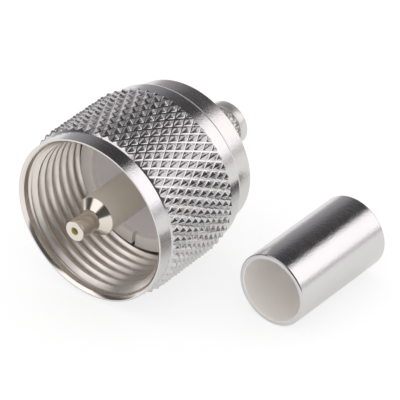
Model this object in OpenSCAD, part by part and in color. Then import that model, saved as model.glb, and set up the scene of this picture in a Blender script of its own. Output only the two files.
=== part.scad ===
// Coaxial screw-coupling crimp plug with its loose crimp ferrule, in millimetres.
// The plug lies on its knurl along Y, with its mouth towards -Y and its cable end towards +Y.
// Depths are counted along the plug's axis from the front face of the coupling nut, pushed fully back.

/* [Coupling thread] */
// Minor diameter of the coupling thread
thread_minor_d = 14.8; // [14.4:0.05:15.2]
// Pitch of the thread
thread_pitch = 1.058; // [1:0.002:1.1]
// Height of the thread, outwards from its minor diameter
thread_height = 0.54; // [0.4:0.02:0.54]
// Width of the flat at the bottom of each turn
thread_root_w = 0.13; // [0.1:0.01:0.16]
// Depth at which the thread ends
thread_end = 8; // [6:0.1:8.4]
// Height of the lead-in outside the thread's minor diameter
lead_height = 0.5; // [0.4:0.05:0.55]
// Length of the lead-in before the thread starts
lead_len = 0.75; // [0.3:0.05:1.2]
// Flare of the lead-in towards the front face
mouth_flare = 0.15; // [0.05:0.01:0.25]
// Height of the relief outside the thread's minor diameter
relief_height = 0.55; // [0.45:0.05:0.6]
// Length of the relief behind the thread
relief_len = 1.4; // [0.6:0.1:1.8]

/* [Coupling nut] */
// Length of the nut
nut_len = 12.3; // [11.5:0.1:15]
// Width of the front face round the mouth
rim_wall = 0.36; // [0.3:0.01:0.5]
// Bevel on the outer edges of both end faces
nut_bevel = 0.1; // [0.02:0.01:0.2]
// Thickness of the lip behind the groove for the retaining ring
rear_lip = 0.4; // [0.3:0.05:0.6]
// Depth of the groove for the retaining ring
groove_depth = 0.25; // [0.15:0.01:0.35]

/* [Nut knurl] */
// Height of the knurl's points above the smooth rim
knurl_rise = 0.47; // [0.42:0.01:0.8]
// Depth of the knurl
knurl_depth = 0.36; // [0.2:0.02:0.42]
// Number of knurl points round the nut
knurl_count = 54; // [36:1:64]
// Angle between the knurl grooves and the axis
knurl_angle = 29; // [25:1:40]
// Depth at which the knurl starts
knurl_start = 1.6; // [1.2:0.05:2.2]
// Length of the knurl
knurl_len = 9; // [7.5:0.1:9.2]

/* [Plug body] */
// Length of the ring that meets the socket
face_ring_len = 1.5; // [1.3:0.05:2]
// Wall of the ring round the insulator
face_wall = 1.35; // [1:0.05:1.6]
// Width of the two slits in the ring
slit_w = 0.35; // [0.2:0.05:0.8]
// Depth of the two slits in the ring
slit_len = 0.8; // [0.4:0.05:1.1]
// Turn of the slits from upright
slit_turn = -6; // [-90:1:90]
// Height of the shoulder that stops the retaining ring
shoulder = 1; // [0.8:0.05:1.2]
// Length of the barrel that the nut slides along
barrel_len = 3.45; // [3:0.05:4]
// Wall of the barrel round the insulator's neck
barrel_wall = 1.6; // [1:0.05:2]
// Height of the rear collar above the barrel
collar_step = 1.65; // [1.4:0.05:2.2]
// Length of the rear collar
collar_len = 2.43; // [2.2:0.01:4]
// Rounding of the collar's edges
collar_round = 0.22; // [0.05:0.01:0.4]

/* [Insulator] */
// Set-back of the insulator's face inside the ring
insulator_recess = 0.45; // [0.2:0.05:0.6]
// Thickness of the ring's floor behind the insulator's head
ring_floor = 0.35; // [0.25:0.05:0.5]
// Length of the whole insulator
insulator_len = 4.35; // [4.1:0.05:4.7]

/* [Centre pin] */
// Diameter of the pin
pin_d = 3.96; // [3.9:0.01:4.1]
// Reach of the pin in front of the body's ring
pin_reach = 9.53; // [8:0.01:11]
// Diameter of the hole in the tip for the cable's wire
wire_hole_d = 0.74; // [0.6:0.02:1]
// Wall of the slim tip round the wire's hole
tip_wall = 0.65; // [0.5:0.01:0.8]
// Length of the slim tip
tip_len = 2.43; // [1.5:0.01:2.8]
// Length of the cone behind the slim tip
cone_len = 0.72; // [0.5:0.01:1.2]
// Bevel on the end of the tip
tip_bevel = 0.12; // [0.04:0.01:0.2]
// Height of the shoulder that seats on the insulator's face, above the shank through it
seat_height = 0.38; // [0.3:0.01:0.5]
// Height of the swaged rim above the shank
swage_height = 0.4; // [0.3:0.05:0.45]
// Thickness of the swaged rim behind the insulator
swage_len = 0.4; // [0.3:0.05:0.5]
// Diameter of the bore that guides the wire to the tip
guide_d = 1.6; // [1.2:0.05:1.8]

/* [Crimp stem] */
// Bore of the stem for the cable's inner insulation
stem_bore_d = 3.8; // [3.4:0.05:4.2]
// Wall of the stem
stem_wall = 0.4; // [0.35:0.01:0.6]
// Length of the stem behind the collar
stem_out = 6.77; // [5:0.01:9]
// Length of the stem pressed into the collar
stem_seat = 1.8; // [1.2:0.05:2]
// Length of the smooth lip at the end of the stem
lip_len = 1.1; // [0.6:0.05:1.8]
// Rounding of the end of the stem
stem_round = 0.15; // [0.05:0.01:0.25]
// Number of knurl points round the stem
stem_knurl_count = 22; // [16:1:30]
// Depth of the stem's knurl
stem_knurl_depth = 0.12; // [0.08:0.01:0.15]
// Step from the smooth lip down to the points of the stem's knurl
lip_step = 0.03; // [0.02:0.01:0.05]

/* [Retaining ring] */
// Thickness of the ring
ring_t = 0.6; // [0.4:0.05:0.8]
// Width of the gap in the ring
ring_gap = 2; // [1:0.1:3]

/* [Crimp ferrule] */
// Outside diameter of the ferrule
ferrule_d = 7.45; // [7.2:0.01:8]
// Wall of the ferrule
ferrule_wall = 0.5; // [0.35:0.05:0.7]
// Length of the ferrule
ferrule_len = 12.73; // [10:0.01:16]
// Rounding of the ferrule's edges
ferrule_round = 0.14; // [0.05:0.01:0.16]
// Gap between the nut and the ferrule that lies beside it
ferrule_gap = 3.165; // [1:0.005:8]
// Depth of the ferrule's near end behind the nut's front face
ferrule_depth = 7.14; // [0:0.01:8]
// Turn of the ferrule away from the plug's axis
ferrule_turn = 1.5; // [-5:0.1:5]

/* [Clearances] */
// Gap between the nut and the collar behind it
seat_gap = 0.05; // [0.02:0.01:0.2]
// Gap between the coupling thread and the body's ring
ring_play = 0.4; // [0.3:0.05:0.6]
// Gap between the nut's rear bore and the body's ring
bore_gap = 0.1; // [0.05:0.01:0.15]
// Running gap of the retaining ring in its groove
run_gap = 0.05; // [0.03:0.01:0.1]

/* [Hidden] */
$fn = 96;
// Steps in each rounded edge
round_steps = 4;
// Depth by which a knurled sleeve is sunk into what carries it
sleeve_sink = 0.15;
// Length by which a knurled sleeve runs on past the end of its knurl
sleeve_end = 0.1;
// Overshoot of cuts past a face
cut = 1;

// Places along the plug's axis
collar_front = nut_len + seat_gap;
barrel_front = collar_front - barrel_len;
ring_face = barrel_front - face_ring_len;
insulator_front = ring_face + insulator_recess;
insulator_rear = insulator_front + insulator_len;
collar_rear = collar_front + collar_len;
stem_front = collar_rear - stem_seat;
stem_end = collar_rear + stem_out;
tip_end = ring_face - pin_reach;
groove_rear = nut_len - rear_lip;
groove_front = groove_rear - ring_t - 2 * run_gap;

// Radii of the nut, outwards and inwards from its thread
thread_r = thread_minor_d / 2;
lead_r = thread_r + lead_height;
mouth_r = lead_r + mouth_flare;
rim_r = mouth_r + rim_wall;
knurl_r = rim_r + knurl_rise;
relief_r = thread_r + relief_height;

// Radii of the body and of what it holds
face_ring_r = thread_r - ring_play;
barrel_r = face_ring_r - shoulder;
collar_r = barrel_r + collar_step;
head_r = face_ring_r - face_wall;
neck_r = barrel_r - barrel_wall;
head_rear = barrel_front - ring_floor;
shank_r = pin_d / 2 - seat_height;
stem_r = stem_bore_d / 2 + stem_wall;

// Radii of the retaining ring and its groove; the ring can be squeezed until it passes the nut's bore
nut_bore_r = face_ring_r + bore_gap;
groove_r = nut_bore_r + groove_depth;
ring_outer_r = groove_r - run_gap;
ring_inner_r = barrel_r + ring_outer_r - nut_bore_r;

// Middle of the resting set on the surface below it
ferrule_side = knurl_r + ferrule_gap + ferrule_d / 2;
ferrule_far_side = ferrule_side + ferrule_len * max(0, sin(ferrule_turn));
right_edge = ferrule_far_side + ferrule_d / 2 * cos(ferrule_turn);
middle = [(right_edge - knurl_r) / 2, (tip_end + stem_end) / 2];

// Places what is built along +Z from the nut's front face onto the resting plug's axis.
module on_plug_axis() {
    translate([-middle.x, -middle.y, knurl_r])
        rotate([-90, 0, 0])
            children();
}

// Corner of a profile rounded as a quarter circle about c, between two angles.
function arc(c, r, from, to) = [for (i = [0:round_steps])
    let (a = from + (to - from) * i / round_steps) c + r * [cos(a), sin(a)]];

// Straight tube with all four edges rounded, from z = 0 to len.
module rounded_tube(outer_r, inner_r, len, round) {
    rotate_extrude()
        polygon(concat(
            arc([outer_r - round, round], round, -90, 0),
            arc([outer_r - round, len - round], round, 0, 90),
            arc([inner_r + round, len - round], round, 90, 180),
            arc([inner_r + round, round], round, 180, 270)));
}

// Diamond-knurled sleeve. Its points and groove crossings alternate along and round a grid, and
// each cell of the grid folds along the groove that joins its two crossings.
module knurled_sleeve(count, rows, len, tip_r, depth, inner_r) {
    cols = 2 * count;
    function level(j, k) = (j + k) % 2 == 0 ? tip_r : tip_r - depth;
    function turn(k) = 90 + 180 * k / count;
    function place(r, j, k) = [r * cos(turn(k)), r * sin(turn(k)), len * j / rows];
    function outer(j, k) = j * cols + k % cols;
    function inner(j, k) = (rows + 1 + (j > 0 ? 1 : 0)) * cols + k % cols;
    points = concat(
        [for (j = [0:rows]) for (k = [0:cols - 1]) place(level(j, k), j, k)],
        [for (j = [0, rows]) for (k = [0:cols - 1]) place(inner_r, j, k)]);
    skin = [for (j = [0:rows - 1]) for (k = [0:cols - 1])
        let (a = outer(j, k), b = outer(j, k + 1), c = outer(j + 1, k + 1), d = outer(j + 1, k))
        each (j + k) % 2 == 0 ? [[a, d, b], [b, d, c]] : [[a, d, c], [a, c, b]]];
    ends = [for (k = [0:cols - 1]) each [
        [outer(0, k), outer(0, k + 1), inner(0, k + 1), inner(0, k)],
        [outer(rows, k + 1), outer(rows, k), inner(rows, k), inner(rows, k + 1)]]];
    bore = [for (k = [0:cols - 1]) [inner(0, k), inner(0, k + 1), inner(rows, k + 1), inner(rows, k)]];
    polyhedron(points, concat(skin, ends, bore), convexity = 6);
}

// Half rows of knurl points that fit a length at the knurl's angle
function half_rows(len, r, count) = max(2, round(len * count * tan(knurl_angle) / (PI * r)));

// Turns of the coupling thread, as rings that share its pitch, from the rear one to the front one
function thread_rings() =
    let (start = lead_len + lead_height, flank = thread_height * tan(30), root_r = thread_r + thread_height)
    let (groove_w = thread_root_w + 2 * flank, turns = floor((thread_end - start) / thread_pitch))
    let (land = (thread_end - start - (turns - 1) * thread_pitch - groove_w) / 2)
    [for (i = [0:turns - 1]) let (rear = thread_end - land - i * thread_pitch) each [
        [thread_r, rear],
        [root_r, rear - flank],
        [root_r, rear - flank - thread_root_w],
        [thread_r, rear - groove_w]]];

module nut_profile() {
    polygon(concat([
        [mouth_r, 0],
        [rim_r - nut_bevel, 0],
        [rim_r, nut_bevel],
        [rim_r, nut_len - nut_bevel],
        [rim_r - nut_bevel, nut_len],
        [nut_bore_r, nut_len],
        [nut_bore_r, groove_rear],
        [groove_r, groove_rear],
        [groove_r, groove_front],
        [nut_bore_r, groove_front],
        [nut_bore_r, thread_end + relief_len],
        [relief_r, thread_end + relief_len],
        [relief_r, thread_end],
        [thread_r, thread_end]],
        thread_rings(),
        [[thread_r, lead_len + lead_height],
        [lead_r, lead_len]]));
}

// Room that the two chamfers leave to the knurl, rising from the smooth bands at 45 degrees
module knurl_room() {
    knurl_end = knurl_start + knurl_len;
    over = knurl_rise + sleeve_sink;
    under = 2 * sleeve_sink;
    polygon([
        [rim_r - under, knurl_start - under],
        [rim_r + over, knurl_start + over],
        [rim_r + over, knurl_end - over],
        [rim_r - under, knurl_end + under]]);
}

module coupling_nut() {
    sleeve_len = knurl_len + 2 * sleeve_end;
    color("#c9c8c6") on_plug_axis() {
        rotate_extrude()
            nut_profile();
        intersection() {
            translate([0, 0, knurl_start - sleeve_end])
                knurled_sleeve(knurl_count, half_rows(sleeve_len, knurl_r, knurl_count), sleeve_len,
                    knurl_r, knurl_depth, rim_r - sleeve_sink);
            rotate_extrude()
                knurl_room();
        }
    }
}

module body_profile() {
    polygon(concat(
        [[head_r, ring_face],
        [face_ring_r, ring_face],
        [face_ring_r, barrel_front],
        [barrel_r, barrel_front],
        [barrel_r, collar_front]],
        arc([collar_r - collar_round, collar_front + collar_round], collar_round, -90, 0),
        arc([collar_r - collar_round, collar_rear - collar_round], collar_round, 0, 90),
        [[stem_r, collar_rear],
        [stem_r, insulator_rear],
        [neck_r, insulator_rear],
        [neck_r, head_rear],
        [head_r, head_rear]]));
}

module plug_body() {
    color("#d2cfc8") on_plug_axis() difference() {
        rotate_extrude()
            body_profile();
        rotate(slit_turn)
            translate([-slit_w / 2, -face_ring_r - cut, ring_face - cut])
                cube([slit_w, 2 * (face_ring_r + cut), cut + slit_len]);
    }
}

module insulator() {
    color("#b9b4bd") on_plug_axis() rotate_extrude()
        polygon([
            [shank_r, insulator_front],
            [head_r, insulator_front],
            [head_r, head_rear],
            [neck_r, head_rear],
            [neck_r, insulator_rear],
            [shank_r, insulator_rear]]);
}

module centre_pin() {
    tip_r = wire_hole_d / 2 + tip_wall;
    cone_front = tip_end + tip_len;
    swage_end = insulator_rear + swage_len;
    color("#b7aa92") on_plug_axis() rotate_extrude()
        polygon([
            [wire_hole_d / 2, tip_end],
            [tip_r - tip_bevel, tip_end],
            [tip_r, tip_end + tip_bevel],
            [tip_r, cone_front],
            [pin_d / 2, cone_front + cone_len],
            [pin_d / 2, insulator_front],
            [shank_r, insulator_front],
            [shank_r, insulator_rear],
            [shank_r + swage_height, insulator_rear],
            [shank_r + swage_height, swage_end],
            [guide_d / 2 + swage_height, swage_end],
            [guide_d / 2, insulator_rear],
            [guide_d / 2, cone_front + cone_len],
            [wire_hole_d / 2, cone_front]]);
}

module crimp_stem() {
    point_r = stem_r - lip_step;
    core_r = point_r - stem_knurl_depth - lip_step;
    knurl_end = stem_end - lip_len;
    sleeve_len = knurl_end - collar_rear + 2 * sleeve_end;
    color("#c4c0ba") on_plug_axis() {
        rotate_extrude()
            polygon(concat(
                [[stem_bore_d / 2, stem_front],
                [stem_r, stem_front],
                [stem_r, collar_rear],
                [core_r, collar_rear],
                [core_r, knurl_end],
                [stem_r, knurl_end]],
                arc([stem_r - stem_round, stem_end - stem_round], stem_round, 0, 90),
                [[stem_bore_d / 2, stem_end]]));
        translate([0, 0, collar_rear - sleeve_end])
            knurled_sleeve(stem_knurl_count, half_rows(sleeve_len, stem_r, stem_knurl_count), sleeve_len,
                point_r, stem_knurl_depth, (core_r + stem_bore_d / 2) / 2);
    }
}

module retaining_ring() {
    color("#a8a29a") on_plug_axis() translate([0, 0, groove_front + run_gap]) difference() {
        cylinder(h = ring_t, r = ring_outer_r);
        translate([0, 0, -cut])
            cylinder(h = ring_t + 2 * cut, r = ring_inner_r);
        translate([-ring_gap / 2, 0, -cut])
            cube([ring_gap, 2 * ring_outer_r, ring_t + 2 * cut]);
    }
}

module crimp_ferrule() {
    color("#cfcecb")
        translate([ferrule_side - middle.x, ferrule_depth - middle.y, ferrule_d / 2])
            rotate([-90, 0, -ferrule_turn])
                rounded_tube(ferrule_d / 2, ferrule_d / 2 - ferrule_wall, ferrule_len, ferrule_round);
}

coupling_nut();
plug_body();
insulator();
centre_pin();
crimp_stem();
retaining_ring();
crimp_ferrule();
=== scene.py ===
# %% [markdown]
# # A screw-coupling coaxial plug and its crimp ferrule
# The object is a small plug for an antenna cable. Its knurled nut screws onto a socket, a hollow centre pin carries
# the signal, and a plain tube, the ferrule, is crimped over the cable's braid behind it. Nearly every piece comes
# off a lathe, so nearly every piece is made here the way a lathe makes it: an outline is carried round an axis.
# The imported model is loaded first, because it fixes where every piece sits.

# %% Load the imported model
import math

import bpy
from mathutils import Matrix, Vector


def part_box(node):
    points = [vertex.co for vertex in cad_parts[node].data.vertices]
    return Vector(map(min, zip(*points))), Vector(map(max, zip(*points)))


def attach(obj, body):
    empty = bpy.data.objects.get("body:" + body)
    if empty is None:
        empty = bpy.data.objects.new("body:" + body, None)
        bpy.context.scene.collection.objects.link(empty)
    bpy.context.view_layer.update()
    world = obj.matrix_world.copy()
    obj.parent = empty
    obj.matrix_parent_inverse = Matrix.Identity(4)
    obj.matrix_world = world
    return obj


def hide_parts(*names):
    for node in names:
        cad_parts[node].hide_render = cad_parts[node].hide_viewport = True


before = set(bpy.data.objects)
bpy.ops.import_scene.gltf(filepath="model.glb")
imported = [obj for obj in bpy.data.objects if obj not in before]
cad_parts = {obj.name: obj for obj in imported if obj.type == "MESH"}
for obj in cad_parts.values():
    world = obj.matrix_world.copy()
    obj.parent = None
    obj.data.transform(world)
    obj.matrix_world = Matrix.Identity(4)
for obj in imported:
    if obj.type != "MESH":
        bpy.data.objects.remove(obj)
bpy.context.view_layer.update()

# %% [markdown]
# All sizes below are written in millimetres, as on a workshop drawing, and turned into Blender's metres by one
# factor. A depth is counted along the plug's axis from the nut's front face, so the numbers read like a drawing too.
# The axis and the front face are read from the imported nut's box instead of being typed in again.

# %% Find the plug's axis and its front face
MM = 0.001
nut_low, nut_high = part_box("coupling_nut")
AXIS = Vector(((nut_low.x + nut_high.x) / 2, nut_low.y, (nut_low.z + nut_high.z) / 2))
NUT_LENGTH = (nut_high.y - nut_low.y) / MM
KNURL_RADIUS = (nut_high.x - nut_low.x) / 2 / MM
print("front of the axis in millimetres:", [round(v / MM, 3) for v in AXIS])
print("nut length", round(NUT_LENGTH, 3), "and knurl radius", round(KNURL_RADIUS, 3))

# %% [markdown]
# The camera stands where the photographer stood: above the mouth, to its right, and about a third of a metre away
# with a long lens, so the plug hardly tapers with distance. A camera can be aimed with a constraint or by hand; it
# is aimed here by turning its own view axis towards the direction of sight, which keeps its horizon level.

# %% Camera at the photograph's angle
FOCAL_LENGTH, SENSOR_WIDTH = 315, 36
CAMERA_PLACE = AXIS + Vector((170.88, -208.02, 180.66)) * MM
LINE_OF_SIGHT = Vector((-0.5041, 0.6638, -0.5525))
NEAREST_SEEN = 10 * MM
camera_data = bpy.data.cameras.new("product_camera")
camera_data.sensor_width = SENSOR_WIDTH
camera_data.lens = FOCAL_LENGTH
camera_data.clip_start = NEAREST_SEEN
camera = bpy.data.objects.new("product_camera", camera_data)
bpy.context.scene.collection.objects.link(camera)
camera.location = CAMERA_PLACE
camera.rotation_mode = "QUATERNION"
camera.rotation_quaternion = LINE_OF_SIGHT.to_track_quat("-Z", "Y")
bpy.context.scene.camera = camera
bpy.context.scene.view_settings.view_transform = "Standard"
print("camera at", [round(v, 4) for v in camera.location])

# %% [markdown]
# The room, the floor and every finish are made of nodes: small boxes that each work out one number or colour and
# hand it on. They can be wired by mouse in the shader editor, or in code, as here. In code every node takes the same
# three strokes, so these are written once: add it, set its plain values, and link the others. The kinds that come
# back most, arithmetic, one range carried over to another, a mix of two colours, noise and bumps, get a word each.

# %% Helper that lays out nodes
class NodeBench:
    """A bench on which the nodes of one material or world are laid out."""

    def __init__(self, owner, cleared=False):
        owner.use_nodes = True
        self.nodes, self.links = owner.node_tree.nodes, owner.node_tree.links
        if cleared:
            self.nodes.clear()

    def add(self, kind, values=(), **settings):
        """Adds a node, and links every value that is another node's socket."""
        node = self.nodes.new("ShaderNode" + kind)
        for key, value in settings.items():
            setattr(node, key, value)
        for place, value in values:
            if isinstance(value, bpy.types.NodeSocket):
                self.links.new(value, node.inputs[place])
            else:
                node.inputs[place].default_value = value
        return node

    def worked(self, operation, *numbers):
        """Works out one number from others."""
        return self.add("Math", enumerate(numbers), operation=operation).outputs[0]

    def carried(self, value, low, high, to_low=0, to_high=1, curve="LINEAR"):
        """Carries the range from low to high over to another range, and stops at its ends."""
        ends = [("From Min", low), ("From Max", high), ("To Min", to_low), ("To Max", to_high)]
        return self.add("MapRange", [("Value", value), *ends], interpolation_type=curve).outputs[0]

    def mixed(self, share, first, second):
        """Mixes two colours."""
        return self.add("Mix", [("Factor", share), (6, first), (7, second)], data_type="RGBA").outputs[2]

    def speckled(self, place, scale, detail=2, roughness=0.5):
        """Noise that is read at a place, at so many specks to the metre."""
        return self.add("TexNoise", [("Vector", place), ("Scale", scale), ("Detail", detail),
                                     ("Roughness", roughness)]).outputs["Fac"]

    def bumped(self, heights, strength, depth, *surface):
        """Raises a surface by heights up to a depth in metres, on top of the bumps that it may have already."""
        values = [("Height", heights), ("Strength", strength), ("Distance", depth)]
        return self.add("Bump", values + [("Normal", earlier) for earlier in surface]).outputs[0]

    def dress(self, looks):
        """Gives a material's shader its looks, such as a colour or a roughness that changes from place to place."""
        for socket, value in looks.items():
            self.links.new(value, self.nodes["Principled BSDF"].inputs[socket])


print("node bench ready, with words for arithmetic, ranges, mixes, noise and bumps")

# %% [markdown]
# Bright plating has hardly any colour of its own. What shows on it is the room, so the room is painted, by two
# angles: how high a ray goes and which way it faces. Pictures of real studios could do this too, but a few painted
# angles are easier to move until each highlight lies where the photograph has it.

# %% Studio room: how high a ray goes and which way it faces
# The room's far wall faces this many degrees left of the plug's axis
ROOM_TURN = 17
studio_room = bpy.data.worlds.new("studio_room")
bpy.context.scene.world = studio_room
room = NodeBench(studio_room, cleared=True)
turned_room = room.add("VectorRotate", [("Vector", room.add("TexCoord").outputs["Generated"]),
                                        ("Angle", -math.radians(ROOM_TURN))], rotation_type="Z_AXIS")
room_parts = room.add("SeparateXYZ", [(0, turned_room.outputs[0])])
height = room.worked("ARCSINE", room_parts.outputs["Z"])
facing = room.worked("ARCTAN2", room_parts.outputs["X"], room_parts.outputs["Y"])
print("room turned by", ROOM_TURN, "degrees")

# %% [markdown]
# The wall ahead darkens upwards into a dark ceiling, and the room behind the photographer is unlit. Each is a short
# list of greys, drawn out into a smooth ramp, and they meet in a soft corner on either side.

# %% Studio room: walls
# Height above the table in degrees, and the grey that stands there
WALL_AHEAD = [(0, 0.66), (5, 0.50), (11, 0.40), (22, 0.31), (28, 0.27), (33, 0.19), (42, 0.07), (50, 0.035)]
ROOM_BEHIND = [(0, 0.14), (8, 0.10), (20, 0.08), (50, 0.05)]
WALL_TINT = (1, 0.965, 1.02)
# Between these degrees sideways, the wall ahead gives way to the room behind
CORNER = (80, 95)
ZENITH = 90


def painted(greys):
    """Paints a list of (degrees of height, grey) pairs as a colour ramp, with a trace of lilac."""
    bands = room.add("ValToRGB", [("Fac", room.carried(height, 0, math.radians(ZENITH)))])
    ramp = bands.color_ramp
    while len(ramp.elements) < len(greys):
        ramp.elements.new(0.5)
    for element, (degrees, grey) in zip(ramp.elements, greys):
        element.position = degrees / ZENITH
        element.color = (*(grey * part for part in WALL_TINT), 1)
    return bands.outputs["Color"]


def edge_of(value, dark, light):
    """A soft edge that goes from 0 at the dark angle to 1 at the light one, both in degrees."""
    return room.carried(value, math.radians(dark), math.radians(light), curve="SMOOTHSTEP")


behind = edge_of(room.worked("ABSOLUTE", facing), *CORNER)
room_picture = room.mixed(behind, painted(WALL_AHEAD), painted(ROOM_BEHIND))
print("walls painted with", len(WALL_AHEAD), "greys ahead and", len(ROOM_BEHIND), "behind")

# %% [markdown]
# One large white lamp box stands on the right, and a smaller one behind the photographer's left shoulder. Two weaker
# ones hang high on the left and straight overhead. Where a lamp's edge falls on a round piece says where it stands,
# so the lamps are soft-edged patches in the same two angles, painted one over the other.

# %% Studio room: lamps
LAMP_TINT = (1, 0.965, 0.99)
# Middle and half width are degrees sideways, bottom and top are degrees of height, and each edge has its own blur
PATCHES = {
    "shaded part of the wall ahead": dict(strength=0.32, middle=14, half_width=17, side_blur=7,
                                          bottom=3, bottom_blur=3, top=40, top_blur=4),
    "lamp on the right": dict(strength=1.42, middle=57.5, half_width=20, side_blur=9.5,
                              bottom=8, bottom_blur=7, top=50, top_blur=3),
    "lamp behind on the left": dict(strength=1.25, middle=-142, half_width=29, side_blur=3.5,
                                    bottom=20.5, bottom_blur=3.5, top=55, top_blur=5),
    "lamp high on the left": dict(strength=0.85, middle=-66, half_width=32, side_blur=8,
                                  bottom=45, bottom_blur=9, top=95, top_blur=2),
    "lamp straight overhead": dict(strength=0.8, middle=-20, half_width=100, side_blur=10,
                                   bottom=71, bottom_blur=5, top=95, top_blur=2)}


def patched(picture, strength, middle, half_width, side_blur, bottom, bottom_blur, top, top_blur):
    """Paints a soft-edged patch over a picture of the room."""
    off_middle = room.worked("ABSOLUTE", room.worked("SUBTRACT", facing, math.radians(middle)))
    sides = edge_of(off_middle, half_width + side_blur, half_width - side_blur)
    above = edge_of(height, bottom - bottom_blur, bottom + bottom_blur)
    below = edge_of(height, top + top_blur, top - top_blur)
    mask = room.worked("MULTIPLY", sides, room.worked("MULTIPLY", above, below))
    return room.mixed(mask, picture, (*(strength * part for part in LAMP_TINT), 1))


for patch in PATCHES.values():
    room_picture = patched(room_picture, **patch)
print("room painted with", ", ".join(PATCHES))

# %% [markdown]
# The picture's background is pure white. That white belongs to what the camera sees directly, and not to stronger
# lamps, so the world asks which ray is looking: polished metal sees the painted room, and all else, the camera and
# the light that falls on matt things, gets a plain even white, at which a colour looks as written.

# %% White background, painted room and even light
ray = room.add("LightPath")
even_light = room.add("Background", [("Color", (1, 1, 1, 1))])
painted_light = room.add("Background", [("Color", room_picture)])
both_lights = room.add("MixShader", [(0, ray.outputs["Is Glossy Ray"]), (1, even_light.outputs[0]),
                                     (2, painted_light.outputs[0])])
room.add("OutputWorld", [("Surface", both_lights.outputs[0])])
print("camera rays see white, glossy rays see the painted room")

# %% [markdown]
# The floor is a wide white sheet. It has to look white to the camera and in the metal, and still hold the soft
# shadow under the plug. So its colour is mostly a plain white glow for the camera, with a share of real matt white
# that the shadow can darken. The metal lies right on it and sees the shaded part close up, so for the rays that
# come off metal the matt share is larger. For the light that it throws onto the object it is only matt white.

# %% White floor that keeps a soft shadow
FLOOR_METRES = 3
# The share of matt white, which shadows darken, and of glow, which they don't
FLOOR_TO_OBJECT = (0.8, 0)
FLOOR_TO_RAYS = {"Is Glossy Ray": (0.5, 0.45), "Is Camera Ray": (0.3, 0.74)}
bpy.ops.object.select_all(action="DESELECT")
bpy.ops.mesh.primitive_plane_add(size=FLOOR_METRES)
floor = bpy.context.object
floor.name = "table_top"
white_table = bpy.data.materials.new("white_table")
paper = NodeBench(white_table, cleared=True)


def white_sheet(matt, glow):
    """White made of a matt share and a glowing share."""
    matt_part = paper.add("BsdfDiffuse", [("Color", (matt, matt, matt, 1))])
    glow_part = paper.add("Emission", [("Strength", glow)])
    return paper.add("AddShader", [(0, matt_part.outputs[0]), (1, glow_part.outputs[0])]).outputs[0]


floor_ray = paper.add("LightPath")
sheet = white_sheet(*FLOOR_TO_OBJECT)
for ray_kind, shares in FLOOR_TO_RAYS.items():
    sheet = paper.add("MixShader", [(0, floor_ray.outputs[ray_kind]), (1, sheet),
                                    (2, white_sheet(*shares))]).outputs[0]
paper.add("OutputMaterial", [("Surface", sheet)])
floor.data.materials.append(white_table)
print("floor laid at height", floor.location.z)

# %% [markdown]
# A lathe makes a round piece by carrying an outline round an axis. Blender can do that with Spin, with the Screw
# modifier or by hand. By hand is the plainest: one ring of points is added at its size and place, and the ring is
# drawn out again and again, moved along the axis and resized, until it meets its start.

# %% Helper that turns an outline round an axis
# Points that lie closer than this, in metres, are one point
TOUCHING = 0.000001


def turned(name, outline, start=AXIS, along=Vector((0, 1, 0)), points=128):
    """Carries a closed outline of (radius, depth) pairs in millimetres round an axis."""
    along = along.normalized()
    radius, depth = outline[0]
    bpy.ops.object.select_all(action="DESELECT")
    tilt = Vector((0, 0, 1)).rotation_difference(along).to_euler()
    bpy.ops.mesh.primitive_circle_add(vertices=points, radius=radius * MM, location=start + along * depth * MM,
                                      rotation=tilt)
    piece = bpy.context.object
    piece.name = name
    bpy.ops.object.transform_apply(location=True, rotation=True, scale=True)
    bpy.ops.object.mode_set(mode="EDIT")
    bpy.ops.mesh.select_all(action="SELECT")
    for (radius, depth), (next_radius, next_depth) in zip(outline, outline[1:] + outline[:1]):
        bpy.ops.mesh.extrude_edges_move(
            TRANSFORM_OT_translate={"value": along * (next_depth - depth) * MM})
        grown = next_radius / radius
        bpy.ops.transform.resize(value=(grown, grown, grown), center_override=start + along * next_depth * MM)
    bpy.ops.mesh.select_all(action="SELECT")
    bpy.ops.mesh.remove_doubles(threshold=TOUCHING)
    bpy.ops.mesh.normals_make_consistent(inside=False)
    bpy.ops.object.mode_set(mode="OBJECT")
    print(name, "turned from", len(outline), "points")
    return piece


print("at 128 points round, the widest circle has sides of", round(2 * math.pi * KNURL_RADIUS / 128, 2), "mm")

# %% [markdown]
# Edges that a real tool breaks are rounded a little by a Bevel modifier, because a perfectly sharp edge never catches
# the light. A Weighted Normal modifier keeps the shading of the long walls straight, so that only the rounding bends
# it. Where a saw or a cutter takes something out of a piece, a Boolean modifier does. Every modifier works on the
# active piece, so a piece is taken up first, alone.

# %% Helpers that break the edges of a piece and cut into it
# An edge that folds by more than this many degrees is sharp
SHARP = 25


def taken_up(piece):
    """Selects one piece alone and makes it the active one."""
    bpy.ops.object.select_all(action="DESELECT")
    piece.select_set(True)
    bpy.context.view_layer.objects.active = piece


def finish_piece(piece, edge=0.0, steps=2, smooth=35):
    """Breaks the sharp edges by a width in millimetres and shades the rest smooth."""
    taken_up(piece)
    if edge:
        eased = piece.modifiers.new("eased_edges", "BEVEL")
        eased.width = edge * MM
        eased.segments = steps
        eased.limit_method = "ANGLE"
        eased.angle_limit = math.radians(SHARP)
        bpy.ops.object.modifier_apply(modifier=eased.name)
    bpy.ops.object.shade_smooth_by_angle(angle=math.radians(smooth))
    straight = piece.modifiers.new("straight_walls", "WEIGHTED_NORMAL")
    straight.weight = 100
    straight.keep_sharp = True
    bpy.ops.object.modifier_apply(modifier=straight.name)
    print(piece.name, "has", len(piece.data.polygons), "faces")


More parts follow.
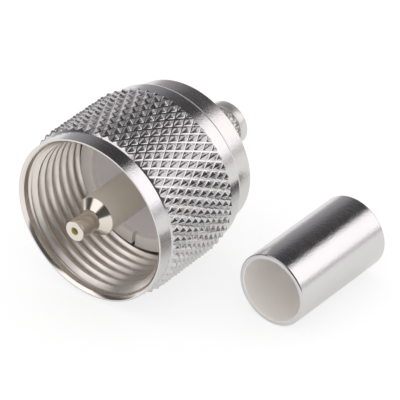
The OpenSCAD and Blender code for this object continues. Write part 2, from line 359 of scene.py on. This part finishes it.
def cut_away(piece, cutter):
    """Takes the cutter's shape out of a piece and removes the cutter."""
    taken_up(piece)
    cut = piece.modifiers.new("cut_away", "BOOLEAN")
    cut.object = cutter
    cut.solver = "EXACT"
    bpy.ops.object.modifier_apply(modifier=cut.name)
    bpy.data.objects.remove(cutter)


print("edges that fold by more than", SHARP, "degrees are broken")

# %% [markdown]
# Plating on turned brass is not one flat metal. The tool leaves fine rings round the piece, the plating is a little
# duller here than there, and handling leaves a faint haze. All of it is drawn from the piece's own place: the
# distance from the axis and the depth along it give rings that run round the piece on its sides and on its ends.
# Where the plating was tumbled it is grained as well, so that a lamp's edge on it is ragged instead of drawn clean.

# %% Helpers that find a place on a round piece and draw its rings and haze
# Marks to the metre: rings count along the piece and outwards, and across they change only slowly
RING_MARKS, ALONG_RING = 8000, 350
HAZE_SPECKS, GRAIN_SPECKS = 420, 4500
RING_DEPTH, RING_STRENGTH = 0.000001, 0.12
# Noise seldom leaves this range, and the haze multiplies the dullness by this much
NOISE_LOW, NOISE_HIGH = 0.3, 0.7
HAZE_LEAST, HAZE_MOST = 0.75, 1.3


def round_place(bench, centre):
    """The place on a round piece seen from its axis, and its depth, its radius and its ring marks."""
    place = bench.add("TexCoord").outputs["Object"]
    centred = bench.add("Mapping", [("Vector", place), ("Location", tuple(-v for v in centre))]).outputs[0]
    parts = bench.add("SeparateXYZ", [(0, centred)]).outputs
    across = bench.add("VectorMath", [(0, centred), (1, (1, 0, 1))], operation="MULTIPLY").outputs[0]
    radius = bench.add("VectorMath", [(0, across)], operation="LENGTH").outputs["Value"]
    fine = bench.worked("MULTIPLY", bench.worked("ADD", parts["Y"], radius), RING_MARKS)
    wide_x, wide_z = (bench.worked("MULTIPLY", parts[way], ALONG_RING) for way in "XZ")
    drawn = bench.add("CombineXYZ", [("X", wide_x), ("Y", fine), ("Z", wide_z)]).outputs[0]
    return centred, parts["Y"], radius, bench.speckled(drawn, 1)


def hazed(bench, place, dullness):
    """Makes a dullness a little more here and less there."""
    haze = bench.speckled(place, HAZE_SPECKS, detail=4, roughness=0.6)
    return bench.worked("MULTIPLY", dullness, bench.carried(haze, NOISE_LOW, NOISE_HIGH, HAZE_LEAST, HAZE_MOST))


print("one turning ring every", 1 / MM / RING_MARKS, "mm")

# %% [markdown]
# Inside a hollow the plating is thinner and duller. It scatters light as much as it mirrors it, so it is given less of
# the metal's mirror and more of a plain colour there, except on a lip that was turned as fine as the outside. That
# plain colour is painted light and shade: it is lighter and warmer than the plating where light fills the hollow, and
# darker where the hollow lies in shade.
# Separate materials for inside and outside would need faces picked by hand; soft steps at a radius or a depth do the
# same for any shape.

# %% Helper that makes a plated finish
# Half the width in millimetres of the soft step between two looks: by radius, by depth, and where the grain begins
RADIUS_STEP, DEPTH_STEP, GRAIN_STEP = 0.05, 0.02, 0.02
# A depth that no piece reaches
FAR = 100


def plated(name, colour, painted_hollow_colour, inner_radius, dull=0.16, inner_dull=0.36, inner_metal=0.6, rings=0.1,
           metallic=1, grain_depth=0, grain_from=0, lip=-FAR, back=FAR, hollow=None, centre=AXIS):
    """Plated metal with turning rings, whose hollow inside inner_radius has its own dullness and sheen, and a colour
    of painted light and shade.

    In front of the depth lip it is as bright as outside, and behind the depth back it is all outside. The painted
    light and shade can have a radius of its own, hollow. Beyond the radius grain_from it has a grain, grain_depth
    metres deep.
    """
    finish = bpy.data.materials.new(name)
    bench = NodeBench(finish)
    place, depth, radius, ring_marks = round_place(bench, centre)

    def beyond(measure, limit, blur):
        """Goes from 0 to 1 where a measure passes a limit, or from 1 to 0 where the blur is negative."""
        return bench.carried(measure, (limit - blur) * MM, (limit + blur) * MM)

    rear = beyond(depth, back, DEPTH_STEP)
    outside = bench.worked("MAXIMUM", beyond(radius, inner_radius, RADIUS_STEP), rear)
    bright = bench.worked("MAXIMUM", outside, beyond(depth, lip, -DEPTH_STEP))
    dullness = hazed(bench, place, bench.carried(bright, 0, 1, inner_dull, dull))
    surface = bench.bumped(ring_marks, bench.worked("MULTIPLY", bright, RING_STRENGTH), RING_DEPTH)
    if grain_depth:
        grain = bench.speckled(place, GRAIN_SPECKS, roughness=0.6)
        surface = bench.bumped(grain, beyond(radius, grain_from, GRAIN_STEP), grain_depth, surface)
    # Inside this radius the plating's colour is swapped for the painted light and shade of the hollow
    painted_hollow_radius = inner_radius if hollow is None else hollow
    outside_painted_hollow = bench.worked("MAXIMUM", beyond(radius, painted_hollow_radius, RADIUS_STEP), rear)
    mirror = bench.worked("MULTIPLY", bright, outside_painted_hollow)
    bench.dress({"Base Color": bench.mixed(outside_painted_hollow, (*painted_hollow_colour, 1), (*colour, 1)),
                 "Metallic": bench.carried(mirror, 0, 1, inner_metal, metallic),
                 "Roughness": bench.worked("MULTIPLY_ADD", ring_marks, rings, dullness),
                 "Normal": surface})
    print(name, "made of", len(bench.nodes), "nodes")
    return finish


print("looks change over", 2 * RADIUS_STEP, "mm by radius and", 2 * DEPTH_STEP, "mm by depth")

# %% [markdown]
# The plug's body is one turned piece of brass. Its front is a ring that meets the end of the socket, with a narrow
# slit sawn across it, behind that comes the barrel under the nut, and at the rear the collar that shows behind the
# nut. The hollow takes the insulator from the front and the crimp stem from the rear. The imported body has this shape
# already, so its outline is repeated with the edges broken, and the slit is cut with a saw blade's shape.

# %% Plug body: ring, barrel and rear collar
RING_FACE, BARREL_FRONT, COLLAR_FRONT, COLLAR_REAR = 7.4, 8.9, 12.35, 14.78
RING_RADIUS, BARREL_RADIUS, COLLAR_RADIUS = 7.0, 6.0, 7.65
INSULATOR_FRONT, HEAD_REAR, INSULATOR_REAR = 7.85, 8.55, 12.2
HEAD_RADIUS, NECK_RADIUS, STEM_RADIUS = 5.65, 4.4, 2.3
plug_body = turned("plug_body_turned", [
    (HEAD_RADIUS, RING_FACE), (RING_RADIUS, RING_FACE), (RING_RADIUS, BARREL_FRONT), (BARREL_RADIUS, BARREL_FRONT),
    (BARREL_RADIUS, COLLAR_FRONT), (COLLAR_RADIUS, COLLAR_FRONT), (COLLAR_RADIUS, COLLAR_REAR),
    (STEM_RADIUS, COLLAR_REAR), (STEM_RADIUS, INSULATOR_REAR), (NECK_RADIUS, INSULATOR_REAR),
    (NECK_RADIUS, HEAD_REAR), (HEAD_RADIUS, HEAD_REAR)])
# The saw stands this far in front of the ring's face, and is taller than the ring
SLIT_WIDTH, SLIT_DEPTH, SLIT_TURN, SAW_AHEAD, SAW_HEIGHT = 0.35, 0.8, 6, 2, 16
bpy.ops.object.select_all(action="DESELECT")
bpy.ops.mesh.primitive_cube_add(
    size=1, location=AXIS + Vector((0, RING_FACE - SAW_AHEAD / 2 + SLIT_DEPTH / 2, 0)) * MM,
    rotation=(0, math.radians(SLIT_TURN), 0), scale=(SLIT_WIDTH * MM, (SAW_AHEAD + SLIT_DEPTH) * MM, SAW_HEIGHT * MM))
saw = bpy.context.object
saw.name = "slitting_saw"
bpy.ops.object.transform_apply(location=True, rotation=True, scale=True)
cut_away(plug_body, saw)
finish_piece(plug_body, edge=0.06)
# Inside radius 7.2 the ring face and bore get a near-white cream: painted light for the light that falls into the
# nut's mouth
plug_body.data.materials.append(plated(
    "body_nickel", colour=(0.72, 0.70, 0.675), painted_hollow_colour=(0.95, 0.91, 0.85), inner_radius=7.2, inner_metal=0.1,
    grain_depth=0.00001, grain_from=7.6, back=10))
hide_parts("plug_body")
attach(plug_body, "plug")

# %% [markdown]
# The nut is bored, undercut and turned in one go. Its outline runs from the chamfered mouth along the outside, where
# the knurl will stand proud of the two smooth bands, to the rear edge. That is broken by a long shallow slope, which
# the photograph shows as a fine line between nut and collar. Inside it comes back over the groove for the retaining
# ring and the relief to the cylinder in which the thread is cut.

# %% Coupling nut: the turned blank
RIM_RADIUS, MOUTH_RADIUS, MOUTH_CHAMFER = 8.41, 8.25, 0.25
REAR_SLOPE, REAR_DROP = 0.26, 0.1
NUT_BORE, GROOVE_RADIUS, GROOVE_FRONT, GROOVE_REAR = 7.1, 7.35, 11.2, 11.9
RELIEF_RADIUS, RELIEF_REAR = 7.95, 9.4
LEAD, LEAD_RADIUS, LEAD_STEP = 0.75, 7.9, 0.06
THREAD_ROOT, THREAD_CREST, THREAD_END = 7.94, 7.4, 8.0
NUT_POINTS = 192
nut = turned("coupling_nut_knurled", [
    (MOUTH_RADIUS, 0), (RIM_RADIUS, 0), (RIM_RADIUS, NUT_LENGTH - REAR_SLOPE), (RIM_RADIUS - REAR_DROP, NUT_LENGTH),
    (NUT_BORE, NUT_LENGTH), (NUT_BORE, GROOVE_REAR), (GROOVE_RADIUS, GROOVE_REAR), (GROOVE_RADIUS, GROOVE_FRONT),
    (NUT_BORE, GROOVE_FRONT), (NUT_BORE, RELIEF_REAR), (RELIEF_RADIUS, RELIEF_REAR), (RELIEF_RADIUS, THREAD_END),
    (THREAD_ROOT, THREAD_END), (THREAD_ROOT, LEAD + LEAD_STEP), (LEAD_RADIUS, LEAD),
    (MOUTH_RADIUS - MOUTH_CHAMFER, MOUTH_CHAMFER)], points=NUT_POINTS)
finish_piece(nut, edge=0.09)

# %% [markdown]
# The coupling thread is a ridge that winds along the bore, 24 turns to the inch. One tooth's outline is enough: the
# Screw modifier carries it round and forward at the same time, which is what a thread is. The tooth starts as a
# plane, its inner side is drawn together to the crest's width, and its two crest corners are rounded.

# %% Thread: the outline of one tooth
PITCH = 25.4 / 24
# The tooth's foot stands in the wall, a little narrower than the pitch so that two turns never overlap
TOOTH_FOOT, FOOT_SHARE, CREST_SHARE, CREST_ROUNDING = THREAD_ROOT + 0.1, 0.985, 0.25, 0.06
TOOTH_START = -0.2
bpy.ops.object.select_all(action="DESELECT")
bpy.ops.mesh.primitive_plane_add(
    size=1, location=(0, TOOTH_START * MM, (TOOTH_FOOT + THREAD_CREST) / 2 * MM), rotation=(0, math.radians(90), 0))
thread = bpy.context.object
thread.name = "thread_tooth"
thread.scale = ((TOOTH_FOOT - THREAD_CREST) * MM, PITCH * FOOT_SHARE * MM, 1)
bpy.ops.object.transform_apply(location=True, rotation=True, scale=True)


def pick(piece, test):
    """In edit mode, selects the points of a piece whose place passes a test, and counts them."""
    bpy.ops.mesh.select_mode(type="VERT")
    bpy.ops.mesh.select_all(action="DESELECT")
    bpy.ops.object.mode_set(mode="OBJECT")
    for point in piece.data.vertices:
        point.select = test(point.co)
    chosen = sum(point.select for point in piece.data.vertices)
    bpy.ops.object.mode_set(mode="EDIT")
    return chosen


bpy.ops.object.mode_set(mode="EDIT")
crest_points = pick(thread, lambda co: co.z < THREAD_CREST * MM + 10 * TOUCHING)
bpy.ops.transform.resize(value=(1, CREST_SHARE, 1), center_override=(0, TOOTH_START * MM, THREAD_CREST * MM))
bpy.ops.mesh.bevel(offset=CREST_ROUNDING * MM, offset_type="OFFSET", segments=2, affect="VERTICES")
bpy.ops.mesh.select_all(action="SELECT")
bpy.ops.mesh.delete(type="ONLY_FACE")
bpy.ops.object.mode_set(mode="OBJECT")
print("tooth with", crest_points, "crest points, now", len(thread.data.vertices), "points")

# %% [markdown]
# The outline is wound round the axis nine times. That leaves an open ridge with two bare ends, which are filled, so
# that it is a closed solid before a cutter goes into it.

# %% Thread: wound along the bore
TURNS, STEPS_PER_TURN = 9, 96
wound = thread.modifiers.new("wound", "SCREW")
wound.axis = "Y"
wound.angle = math.radians(360)
wound.screw_offset = PITCH * MM
wound.iterations = TURNS
wound.steps = wound.render_steps = STEPS_PER_TURN
bpy.ops.object.modifier_apply(modifier=wound.name)
thread.location = AXIS
bpy.ops.object.transform_apply(location=True, rotation=True, scale=True)
bpy.ops.object.mode_set(mode="EDIT")
bpy.ops.mesh.select_all(action="SELECT")
bpy.ops.mesh.remove_doubles(threshold=TOUCHING)
bpy.ops.mesh.select_all(action="DESELECT")
bpy.ops.mesh.select_non_manifold()
bpy.ops.mesh.fill()
bpy.ops.mesh.select_all(action="SELECT")
bpy.ops.mesh.normals_make_consistent(inside=False)
bpy.ops.object.mode_set(mode="OBJECT")
print("thread wound:", len(thread.data.polygons), "faces")

# %% [markdown]
# A thread doesn't simply begin: the lead-in cone cuts its first turn to a slanting edge, and the relief behind it
# ends it clean. Both are turned as cutters and taken away from the ridge.

# %% Thread: cut to the lead-in and the relief
# The cutters reach from inside the crest to outside the root, and beyond both ends of the ridge
CUTTER_INSIDE, CUTTER_OUTSIDE, LEAD_CLEARANCE = 6.5, 9, 0.15
CUTTER_START, CUTTER_END = -2, THREAD_END + 4
cut_away(thread, turned("lead_in_cutter", [
    (CUTTER_INSIDE, CUTTER_START), (CUTTER_OUTSIDE, CUTTER_START), (CUTTER_OUTSIDE, LEAD - LEAD_CLEARANCE),
    (LEAD_RADIUS + LEAD_CLEARANCE, LEAD - LEAD_CLEARANCE), (CUTTER_INSIDE, LEAD + LEAD_RADIUS - CUTTER_INSIDE)]))
cut_away(thread, turned("relief_cutter", [
    (CUTTER_INSIDE, THREAD_END), (CUTTER_OUTSIDE, THREAD_END), (CUTTER_OUTSIDE, CUTTER_END),
    (CUTTER_INSIDE, CUTTER_END)]))
finish_piece(thread, smooth=30)

# %% [markdown]
# The knurl is pressed in by two hard wheels, and leaves rows of four-sided points. One point is modelled flat: a
# diamond, drawn in and raised in steps, for the groove's rounded bottom and the flank, and its ridges are bevelled.
# It is repeated hundreds of times, so it gets by with some thirty faces.

# %% Helper that makes one point of a knurl
# Ridges that fold by more than this many degrees are worn
WORN = 38


def knurl_point(name, pitch, half_row, front, steps, slid, ridge):
    """One raised diamond of a knurl, flat on its back; steps are its (inset, rise) pairs in millimetres.

    One of the two groove directions is widened on either side by slid, in millimetres along the diamond's edge, and
    the ridges are rounded by ridge.
    """
    bpy.ops.object.select_all(action="DESELECT")
    bpy.ops.mesh.primitive_circle_add(vertices=4, radius=1, fill_type="NGON",
                                      location=(0, front * MM, pitch / 2 * MM), rotation=(0, math.radians(-90), 0))
    point = bpy.context.object
    point.name = name
    point.scale = (pitch / 2 * MM, half_row * MM, 1)
    bpy.ops.object.transform_apply(location=True, rotation=True, scale=True)
    bpy.ops.object.mode_set(mode="EDIT")
    bpy.ops.mesh.select_mode(type="FACE")
    bpy.ops.mesh.select_all(action="SELECT")
    edge_way = Vector((0, half_row, -pitch / 2)).normalized()
    for index, (inset, rise) in enumerate(steps):
        bpy.ops.mesh.inset(thickness=inset * MM, depth=rise * MM)
        if slid and index == 0:
            for side in (1, -1):
                pick(point, lambda co: abs(co.x) > TOUCHING and side * (co.y - co.z + (pitch / 2 - front) * MM) > 0)
                bpy.ops.transform.translate(value=-side * slid * MM * edge_way)
            pick(point, lambda co: abs(co.x) > TOUCHING)
            bpy.ops.mesh.select_mode(type="FACE")
    bpy.ops.object.mode_set(mode="OBJECT")
    if ridge:
        worn = point.modifiers.new("worn_ridges", "BEVEL")
        worn.width = ridge * MM
        worn.segments = 1
        worn.limit_method = "ANGLE"
        worn.angle_limit = math.radians(WORN)
        bpy.ops.object.modifier_apply(modifier=worn.name)
    print("one point of", name, "has", len(point.data.polygons), "faces")
    return point


print("ridges that fold by more than", WORN, "degrees are worn")

# %% [markdown]
# A point and its neighbour in the next half row make a pair. Two arrays lay the pair out as a strip, and the strip
# is bent round until its ends meet. Both ends are then cut square, and the bare rims are drawn inwards and joined,
# so that the band is a closed sleeve sunk in the wall. Grooves could also be cut into a smooth cylinder, but rows
# of copies keep every point as clean as the first.

# %% Helpers that roll a knurled band
# A cut takes points as lying on it within this many metres
CUT_TOLERANCE = 0.0000001


def rolled_round(band, pitch, half_row, count, half_rows, root):
    """Lays one point out in a strip and bends the strip round the axis."""
    bpy.ops.object.mode_set(mode="EDIT")
    bpy.ops.mesh.select_all(action="SELECT")
    bpy.ops.mesh.duplicate_move(TRANSFORM_OT_translate={"value": (0, half_row * MM, pitch / 2 * MM)})
    bpy.ops.object.mode_set(mode="OBJECT")
    for label, offset, copies in (("round", (0, 0, pitch * MM), count),
                                  ("along", (0, 2 * half_row * MM, 0), half_rows // 2 + 1)):
        rowed = band.modifiers.new(label, "ARRAY")
        rowed.use_relative_offset = False
        rowed.use_constant_offset = True
        rowed.constant_offset_displace = offset
        rowed.count = copies
        bpy.ops.object.modifier_apply(modifier=label)
    bent = band.modifiers.new("bent_round", "SIMPLE_DEFORM")
    bent.deform_method = "BEND"
    bent.deform_axis = "Y"
    bent.angle = 2 * math.pi * (count + 0.5) / count
    bpy.ops.object.modifier_apply(modifier=bent.name)
    band.location = AXIS - Vector((root * MM, 0, 0))
    bpy.ops.object.transform_apply(location=True, rotation=True, scale=True)


def made_sleeve(band, front, rear, sink, turn):
    """Turns a band, cuts its ends square, and draws its rims in to the share sink and joins them."""
    bpy.ops.object.mode_set(mode="EDIT")
    bpy.ops.mesh.select_all(action="SELECT")
    bpy.ops.mesh.remove_doubles(threshold=TOUCHING)
    bpy.ops.transform.rotate(value=math.radians(turn), orient_axis="Y", center_override=AXIS)
    for depth, kept in ((front, "clear_inner"), (rear, "clear_outer")):
        bpy.ops.mesh.select_all(action="SELECT")
        bpy.ops.mesh.bisect(plane_co=AXIS + Vector((0, depth * MM, 0)), plane_no=(0, 1, 0), threshold=CUT_TOLERANCE,
                            **{kept: True})
    for depth in (front, rear):
        level = AXIS.y + depth * MM
        pick(band, lambda co: abs(co.y - level) < TOUCHING)
        bpy.ops.mesh.extrude_edges_move(TRANSFORM_OT_translate={"value": (0, 0, 0)})
        bpy.ops.transform.resize(value=(sink, 1, sink), center_override=(AXIS.x, level, AXIS.z))
    bpy.ops.mesh.select_all(action="DESELECT")
    bpy.ops.mesh.select_non_manifold()
    bpy.ops.mesh.bridge_edge_loops()
    bpy.ops.mesh.select_all(action="SELECT")
    bpy.ops.mesh.normals_make_consistent(inside=False)
    bpy.ops.object.mode_set(mode="OBJECT")


def knurled_band(name, count, half_rows, front, rear, root, steps, sink, slid=0, ridge=0, turn=0):
    """A band of raised diamonds, count of them round a radius of root, turned by turn degrees."""
    pitch = 2 * math.pi * root / count
    half_row = (rear - front) / half_rows
    band = knurl_point(name, pitch, half_row, front, steps, slid, ridge)
    rolled_round(band, pitch, half_row, count, half_rows, root)
    made_sleeve(band, front, rear, sink, turn)
    print(name, "rolled with a point every", round(pitch, 3), "mm round and", round(2 * half_row, 3), "mm along")
    return band


print("band ends are cut to within", round(CUT_TOLERANCE / MM, 6), "mm")

# %% [markdown]
# On the nut there are 54 points round and ten half rows along, folded along grooves that lie 29 degrees from the
# axis. The groove's bottom is rounded, the flanks stand at nearly 50 degrees, and the tops are small flats that the
# knurling wheel didn't fill. One of the two wheels bit deeper, so its grooves are wider. Both ends of the knurl are
# chamfered down to the smooth bands, with turned cutters.

# %% Coupling nut: knurl
KNURL_FRONT, KNURL_REAR, KNURL_DEPTH, KNURL_OVERRUN = 1.6, 10.6, 0.36, 0.1
KNURL_STEPS = [(0.02, 0.002), (0.04, 0.015), (0.05, 0.038), (0.265, 0.305)]
nut_knurl = knurled_band(
    "nut_knurl", count=54, half_rows=10, front=KNURL_FRONT - KNURL_OVERRUN, rear=KNURL_REAR + KNURL_OVERRUN,
    root=KNURL_RADIUS - KNURL_DEPTH, steps=KNURL_STEPS, sink=0.945, slid=0.055, ridge=0.03, turn=1.2)
# Each chamfer's cutter starts inside the rim's surface and ends outside the points
CHAMFER_INSIDE, CHAMFER_OUTSIDE = 0.2, 0.8
# Where a chamfer meets the rim, which way it faces, and how far it runs along for each millimetre of height
for end, away, slant in ((KNURL_FRONT, -1, 1), (KNURL_REAR, 1, 0.5)):
    cut_away(nut_knurl, turned("chamfer_cutter", [
        (RIM_RADIUS - CHAMFER_INSIDE, end + CHAMFER_INSIDE * slant * away), (RIM_RADIUS - CHAMFER_INSIDE, end + away),
        (RIM_RADIUS + CHAMFER_OUTSIDE, end + away),
        (RIM_RADIUS + CHAMFER_OUTSIDE, end - CHAMFER_OUTSIDE * slant * away)], points=NUT_POINTS))
finish_piece(nut_knurl, smooth=38)

# %% [markdown]
# The blank, the knurl and the thread are three closed shells that reach into each other. On the real nut they are
# one piece of brass, so they are joined into one object. A Boolean union would melt them together, but it would also
# cut the knurl's thousands of small faces, and from outside nothing would change.

# %% Coupling nut: three shells made one piece
def made_one(piece, *others):
    """Joins other shells into a piece."""
    taken_up(piece)
    for other in others:
        other.select_set(True)
    bpy.ops.object.join()
    print(piece.name, "now has", len(piece.data.polygons), "faces")


made_one(nut, nut_knurl, thread)
# The bore's lighter, warmer colour is painted light, for the light bouncing round inside the nut
nut.data.materials.append(plated(
    "nut_nickel", colour=(0.71, 0.70, 0.695), painted_hollow_colour=(0.88, 0.83, 0.77), inner_radius=8.33, dull=0.11,
    inner_dull=0.3, inner_metal=1, grain_depth=0.00001, grain_from=8.36, lip=0.3, back=12.1))
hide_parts("coupling_nut")
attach(nut, "nut")

# %% [markdown]
# The insulator is a moulded disc of grey plastic with a smaller neck behind it. It shows as a quiet flat face
# round the pin, so its edge against the ring is what gives it shape, and it gets a small rounding there.

# %% Insulator
SHANK_RADIUS = 1.6
insulator = turned("insulator_moulded", [
    (SHANK_RADIUS, INSULATOR_FRONT), (HEAD_RADIUS, INSULATOR_FRONT), (HEAD_RADIUS, HEAD_REAR),
    (NECK_RADIUS, HEAD_REAR), (NECK_RADIUS, INSULATOR_REAR), (SHANK_RADIUS, INSULATOR_REAR)])
finish_piece(insulator, edge=0.08, steps=3)

# %% [markdown]
# Its plastic is matt, with a faint lilac cast. Where it flowed into the mould it is a shade lighter or darker and a
# little smoother or rougher, in patches of a few millimetres, and the mould's eroded face has left a fine grain.

# %% Insulator: grey plastic
FLOW_PATCHES, MOULD_GRAIN = 300, 9000
FLOW_DARK, FLOW_LIGHT = (0.72, 0.67, 0.68, 1), (0.78, 0.73, 0.74, 1)
FLOW_SMOOTH, FLOW_ROUGH = 0.42, 0.58
MOULD_STRENGTH, MOULD_DEPTH = 0.3, 0.00001
grey_plastic = bpy.data.materials.new("grey_plastic")
moulding = NodeBench(grey_plastic)
plastic_place = moulding.add("TexCoord").outputs["Object"]
flow = moulding.speckled(plastic_place, FLOW_PATCHES, detail=3)
mould_grain = moulding.speckled(plastic_place, MOULD_GRAIN)
moulding.dress({"Base Color": moulding.mixed(flow, FLOW_DARK, FLOW_LIGHT),
                "Roughness": moulding.carried(flow, 0, 1, FLOW_SMOOTH, FLOW_ROUGH),
                "Normal": moulding.bumped(mould_grain, MOULD_STRENGTH, MOULD_DEPTH)})
insulator.data.materials.append(grey_plastic)
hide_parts("insulator")
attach(insulator, "plug")
print("grey plastic made of", len(moulding.nodes), "nodes")

# %% [markdown]
# The centre pin is a tube that the cable's wire runs through. Its slim tip has a fine hole for the wire, a cone leads
# to the full thickness, its shoulder sits on the insulator, and behind the insulator its end is swaged open.

# %% Centre pin
TIP_END, CONE_FRONT, CONE_REAR = RING_FACE - 9.53, 0.3, 1.02
WIRE_HOLE, TIP_RADIUS, PIN_RADIUS, PIN_BORE = 0.37, 1.02, 1.98, 0.8
SWAGED_RADIUS, SWAGED_END, SWAGED_MOUTH = 2.0, 12.6, 1.2
centre_pin = turned("centre_pin_turned", [
    (WIRE_HOLE, TIP_END), (TIP_RADIUS, TIP_END), (TIP_RADIUS, CONE_FRONT), (PIN_RADIUS, CONE_REAR),
    (PIN_RADIUS, INSULATOR_FRONT), (SHANK_RADIUS, INSULATOR_FRONT), (SHANK_RADIUS, INSULATOR_REAR),
    (SWAGED_RADIUS, INSULATOR_REAR), (SWAGED_RADIUS, SWAGED_END), (SWAGED_MOUTH, SWAGED_END),
    (PIN_BORE, INSULATOR_REAR), (PIN_BORE, CONE_REAR), (WIRE_HOLE, CONE_FRONT)], points=96)
finish_piece(centre_pin, edge=0.05, steps=3)
# The wire hole's olive colour is painted shade and reflection from inside the hole
centre_pin.data.materials.append(plated(
    "pin_nickel", colour=(0.82, 0.76, 0.68), painted_hollow_colour=(0.72, 0.63, 0.29), inner_radius=3, dull=0.12,
    inner_metal=0.4, rings=0.05, lip=CONE_REAR, hollow=WIRE_HOLE + RADIUS_STEP))
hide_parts("centre_pin")
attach(centre_pin, "plug")

# %% [markdown]
# The crimp stem is a thin tube whose outside is knurled, so that the braid can't slip when the ferrule is crimped
# over it. It is the same kind of band as the nut's, only finer, between a pressed seat and a smooth lip.

# %% Crimp stem
STEM_FRONT, STEM_END, STEM_LIP = 12.98, 21.55, 1.1
STEM_BORE, STEM_CORE, STEM_KNURL_ROOT, STEM_OVERRUN = 1.9, 2.12, 2.15, 0.1
STEM_STEPS = [(0.02, 0.01), (0.12, 0.09), (0.03, 0.02)]
stem = turned("crimp_stem_knurled", [
    (STEM_BORE, STEM_FRONT), (STEM_RADIUS, STEM_FRONT), (STEM_RADIUS, COLLAR_REAR), (STEM_CORE, COLLAR_REAR),
    (STEM_CORE, STEM_END - STEM_LIP), (STEM_RADIUS, STEM_END - STEM_LIP), (STEM_RADIUS, STEM_END),
    (STEM_BORE, STEM_END)], points=96)
finish_piece(stem, edge=0.08, steps=3)
stem_knurl = knurled_band(
    "stem_knurl", count=22, half_rows=10, front=COLLAR_REAR - STEM_OVERRUN, rear=STEM_END - STEM_LIP + STEM_OVERRUN,
    root=STEM_KNURL_ROOT, steps=STEM_STEPS, sink=0.92)
finish_piece(stem_knurl, smooth=20)
made_one(stem, stem_knurl)
# The bore's darker, warmer colour is painted shade
stem.data.materials.append(plated(
    "stem_nickel", colour=(0.74, 0.725, 0.69), painted_hollow_colour=(0.72, 0.67, 0.59), inner_radius=1.95, dull=0.24,
    metallic=0.8, grain_depth=0.000008))
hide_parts("crimp_stem")
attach(stem, "plug")

# %% [markdown]
# The ferrule is a plain tube with well rounded edges. It lies beside the nut, not quite parallel to it, so its
# outline is turned about its own axis.

# %% Crimp ferrule
FERRULE_TURN, FERRULE_RADIUS, FERRULE_BORE, FERRULE_LENGTH = math.radians(1.5), 3.725, 3.225, 12.73
FERRULE_ASIDE, FERRULE_BEHIND = 15.77, 7.14
ferrule_start = AXIS + Vector((FERRULE_ASIDE, FERRULE_BEHIND, FERRULE_RADIUS - KNURL_RADIUS)) * MM
ferrule = turned("crimp_ferrule_tube", [
    (FERRULE_BORE, 0), (FERRULE_RADIUS, 0), (FERRULE_RADIUS, FERRULE_LENGTH), (FERRULE_BORE, FERRULE_LENGTH)],
    start=ferrule_start, along=Vector((math.sin(FERRULE_TURN), math.cos(FERRULE_TURN), 0)))
finish_piece(ferrule, edge=0.14, steps=4)
# The tube's inside gets a near-white cream: painted light for the light that falls into it
ferrule.data.materials.append(plated(
    "ferrule_nickel", colour=(0.71, 0.70, 0.695), painted_hollow_colour=(0.96, 0.92, 0.89), inner_radius=3.3, dull=0.12,
    inner_metal=0.12, grain_depth=0.000014, grain_from=3.5, centre=ferrule_start))
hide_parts("crimp_ferrule")
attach(ferrule, "plug")

# %% [markdown]
# The split ring that holds the nut can't be seen from outside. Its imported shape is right, so it keeps that and only
# gets the look of spring bronze.

# %% Retaining ring
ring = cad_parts["retaining_ring"]
ring.data.materials.clear()
# Its inside colour, a little darker, is painted shade
ring.data.materials.append(plated(
    "spring_bronze", colour=(0.66, 0.52, 0.32), painted_hollow_colour=(0.60, 0.47, 0.29), inner_radius=6.2, dull=0.28))
print("retaining ring in bronze")

# %% [markdown]
# Last, the scene is brought up to date.

# %% Finish
bpy.context.view_layer.update()
